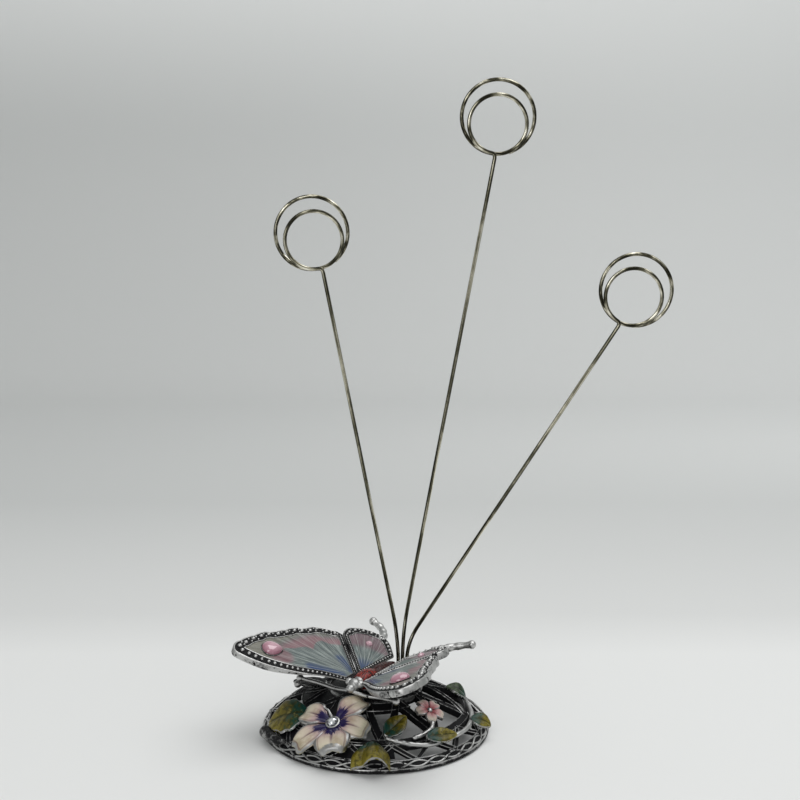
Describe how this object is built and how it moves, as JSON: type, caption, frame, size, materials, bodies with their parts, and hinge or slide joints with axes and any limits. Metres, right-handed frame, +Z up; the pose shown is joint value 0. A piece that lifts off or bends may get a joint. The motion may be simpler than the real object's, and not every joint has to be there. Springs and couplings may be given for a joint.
{
  "type": "note holder",
  "caption": "Desk note holder: an openwork cast dome with enamelled flowers and leaves, a jewelled butterfly on its crown, and tall wire stems that end in sprung loop clips.",
  "frame": {"origin": "centre of the round foot, on the table", "axes": "+Z up along the wire stems' height, -Y the front from which the butterfly and the large flower are seen, +X to the viewer's right"},
  "size_m": [0.1425, 0.0879, 0.2109],
  "materials": {
    "pewter": "antiqued pewter: bright on raised edges, black patina in the recesses",
    "leaf_enamel": "glossy olive and teal enamel on pewter",
    "petal_enamel": "pearly champagne enamel with violet rays on pewter",
    "pink_enamel": "glossy pale pink enamel on pewter",
    "wing_enamel": "pearly grey-green enamel with mauve and blue shading",
    "body_enamel": "glossy red enamel on pewter",
    "pink_stone": "polished pink glass",
    "clear_stone": "faceted clear glass with a mirror back",
    "spring_wire": "drawn nickel-coloured spring wire"
  },
  "bodies": {
    "holder": {"base_casting": "pewter", "wire_socket": "pewter", "left_stem_and_front_turn": "spring_wire", "middle_stem_and_front_turn": "spring_wire", "right_stem_and_front_turn": "spring_wire", "butterfly_body": "body_enamel", "left_wing": "pewter", "left_forewing_enamel": "wing_enamel", "left_hindwing_enamel": "wing_enamel", "left_cabochon": "pink_stone", "left_wing_stone": "pink_stone", "left_antenna": "pewter", "right_wing": "pewter", "right_forewing_enamel": "wing_enamel", "right_hindwing_enamel": "wing_enamel", "right_cabochon": "pink_stone", "right_wing_stone": "pink_stone", "right_antenna": "pewter", "large_flower": "petal_enamel", "large_flower_stone": "clear_stone", "small_flower": "pink_enamel", "small_flower_stone": "clear_stone", "left_leaf": "leaf_enamel", "front_leaf": "leaf_enamel", "middle_leaf": "leaf_enamel", "vine_leaf": "leaf_enamel", "rim_leaf": "leaf_enamel", "upper_leaf": "leaf_enamel", "rim_bud": "pewter", "vine": "pewter", "vine_branch": "pewter"},
    "left_clip": {"left_back_turn": "spring_wire"},
    "middle_clip": {"middle_back_turn": "spring_wire"},
    "right_clip": {"right_back_turn": "spring_wire"}
  },
  "joints": [
    {"name": "left_clip_spring", "type": "hinge", "parent": "holder", "child": "left_clip", "pos_m": [-0.0172, 0.00955, 0.1508], "axis": [-0.9546, 0, -0.2978], "range_deg": [0, 8], "stiffness_Nm_per_rad": 0.15},
    {"name": "middle_clip_spring", "type": "hinge", "parent": "holder", "child": "middle_clip", "pos_m": [0.0381, 0.00955, 0.1869], "axis": [-0.997, 0, 0.0774], "range_deg": [0, 8], "stiffness_Nm_per_rad": 0.15},
    {"name": "right_clip_spring", "type": "hinge", "parent": "holder", "child": "right_clip", "pos_m": [0.0793, 0.00955, 0.1331], "axis": [-0.8937, 0, 0.4486], "range_deg": [0, 8], "stiffness_Nm_per_rad": 0.15}
  ]
}
